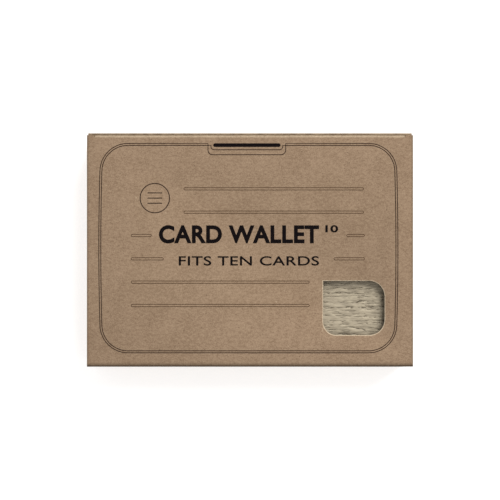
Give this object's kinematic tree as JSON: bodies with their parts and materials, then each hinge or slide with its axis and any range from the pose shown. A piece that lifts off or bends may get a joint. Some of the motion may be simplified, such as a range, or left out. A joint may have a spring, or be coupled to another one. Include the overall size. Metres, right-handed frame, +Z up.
{
  "type": "boxed card wallet",
  "caption": "Hinged-lid kraft board carton with a die-cut window, holding a slim aluminium card wallet that opens on a fan of pockets.",
  "frame": {"origin": "middle of the carton's underside", "axes": "+X along the carton's long side, +Y from the lid's crease to the tuck edge, +Z up through the lid"},
  "size_m": [0.12, 0.086, 0.024],
  "materials": {
    "kraft_board": "uncoated brown kraft board, fibrous and mottled, with fine specks",
    "wallet_shell": "aluminium sheet embossed with fine crosswise wrinkles, cream lacquer",
    "wallet_frame": "black moulded plastic, fine grain",
    "pocket_plastic": "thin black polypropylene sheet, fine grain",
    "latch_plastic": "black moulded plastic, semi-gloss",
    "steel": "bare spring steel"
  },
  "bodies": {
    "carton": {"base_panel": "kraft_board", "rear_wall": "kraft_board", "front_wall": "kraft_board", "side_wall_left": "kraft_board", "side_wall_right": "kraft_board", "rollover_wall_left": "kraft_board", "rollover_wall_right": "kraft_board", "corner_tab_front_left": "kraft_board", "corner_tab_front_right": "kraft_board", "corner_tab_rear_left": "kraft_board", "corner_tab_rear_right": "kraft_board", "back_shell": "wallet_shell", "back_frame": "wallet_frame", "pocket_end_base": "pocket_plastic", "hinge_pin": "steel", "catch_plate": "steel", "pocket_gusset_left": "pocket_plastic", "pocket_gusset_right": "pocket_plastic"},
    "carton_lid": {"lid_panel": "kraft_board", "lid_crease": "kraft_board"},
    "tuck_flap": {"tuck_flap": "kraft_board", "tuck_crease": "kraft_board"},
    "wallet_lid": {"front_shell": "wallet_shell", "front_frame": "wallet_frame", "pocket_end_lid": "pocket_plastic", "latch_housing": "latch_plastic", "latch_springs": "steel", "clasp_tongue": "steel"},
    "latch_button": {"latch_button": "latch_plastic"},
    "leaf_1": {"pocket_leaf_1": "pocket_plastic"},
    "leaf_2": {"pocket_leaf_2": "pocket_plastic"},
    "leaf_3": {"pocket_leaf_3": "pocket_plastic"},
    "leaf_4": {"pocket_leaf_4": "pocket_plastic"},
    "leaf_5": {"pocket_leaf_5": "pocket_plastic"},
    "leaf_6": {"pocket_leaf_6": "pocket_plastic"}
  },
  "joints": [
    {"name": "carton_lid_open", "type": "hinge", "parent": "carton", "child": "carton_lid", "pos_m": [0, -0.0421, 0.0231], "axis": [1, 0, 0], "range_deg": [0, 110], "deforming": ["lid_crease"]},
    {"name": "tuck_flap_fold", "type": "hinge", "parent": "carton_lid", "child": "tuck_flap", "pos_m": [0, 0.04138, 0.0231], "axis": [1, 0, 0], "range_deg": [0, 27.5], "deforming": ["tuck_crease"]},
    {"name": "leaf_1_fan", "type": "hinge", "parent": "carton", "child": "leaf_1", "pos_m": [0, -0.0355, 0.0107], "axis": [1, 0, 0], "range_deg": [0, 7.14], "deforming": ["pocket_gusset_left", "pocket_gusset_right"]},
    {"name": "leaf_2_fan", "type": "hinge", "parent": "leaf_1", "child": "leaf_2", "pos_m": [0, -0.0355, 0.0107], "axis": [1, 0, 0], "range_deg": [0, 7.14]},
    {"name": "leaf_3_fan", "type": "hinge", "parent": "leaf_2", "child": "leaf_3", "pos_m": [0, -0.0355, 0.0107], "axis": [1, 0, 0], "range_deg": [0, 7.14]},
    {"name": "leaf_4_fan", "type": "hinge", "parent": "leaf_3", "child": "leaf_4", "pos_m": [0, -0.0355, 0.0107], "axis": [1, 0, 0], "range_deg": [0, 7.14]},
    {"name": "leaf_5_fan", "type": "hinge", "parent": "leaf_4", "child": "leaf_5", "pos_m": [0, -0.0355, 0.0107], "axis": [1, 0, 0], "range_deg": [0, 7.14]},
    {"name": "leaf_6_fan", "type": "hinge", "parent": "leaf_5", "child": "leaf_6", "pos_m": [0, -0.0355, 0.0107], "axis": [1, 0, 0], "range_deg": [0, 7.14]},
    {"name": "wallet_lid_open", "type": "hinge", "parent": "leaf_6", "child": "wallet_lid", "pos_m": [0, -0.0355, 0.0107], "axis": [1, 0, 0], "range_deg": [0, 7.14], "deforming": ["clasp_tongue"]},
    {"name": "latch_press", "type": "slide", "parent": "wallet_lid", "child": "latch_button", "axis": [0, -1, 0], "range_m": [0, 0.0012], "stiffness_N_per_m": 400, "deforming": ["latch_springs"]}
  ],
  "couplings": [
    {"joint": "tuck_flap_fold", "follows": "carton_lid_open", "ratio": 0.25},
    {"joint": "leaf_1_fan", "follows": "carton_lid_open", "ratio": 0.064935},
    {"joint": "leaf_2_fan", "follows": "carton_lid_open", "ratio": 0.064935},
    {"joint": "leaf_3_fan", "follows": "carton_lid_open", "ratio": 0.064935},
    {"joint": "leaf_4_fan", "follows": "carton_lid_open", "ratio": 0.064935},
    {"joint": "leaf_5_fan", "follows": "carton_lid_open", "ratio": 0.064935},
    {"joint": "leaf_6_fan", "follows": "carton_lid_open", "ratio": 0.064935},
    {"joint": "wallet_lid_open", "follows": "carton_lid_open", "ratio": 0.064935}
  ]
}
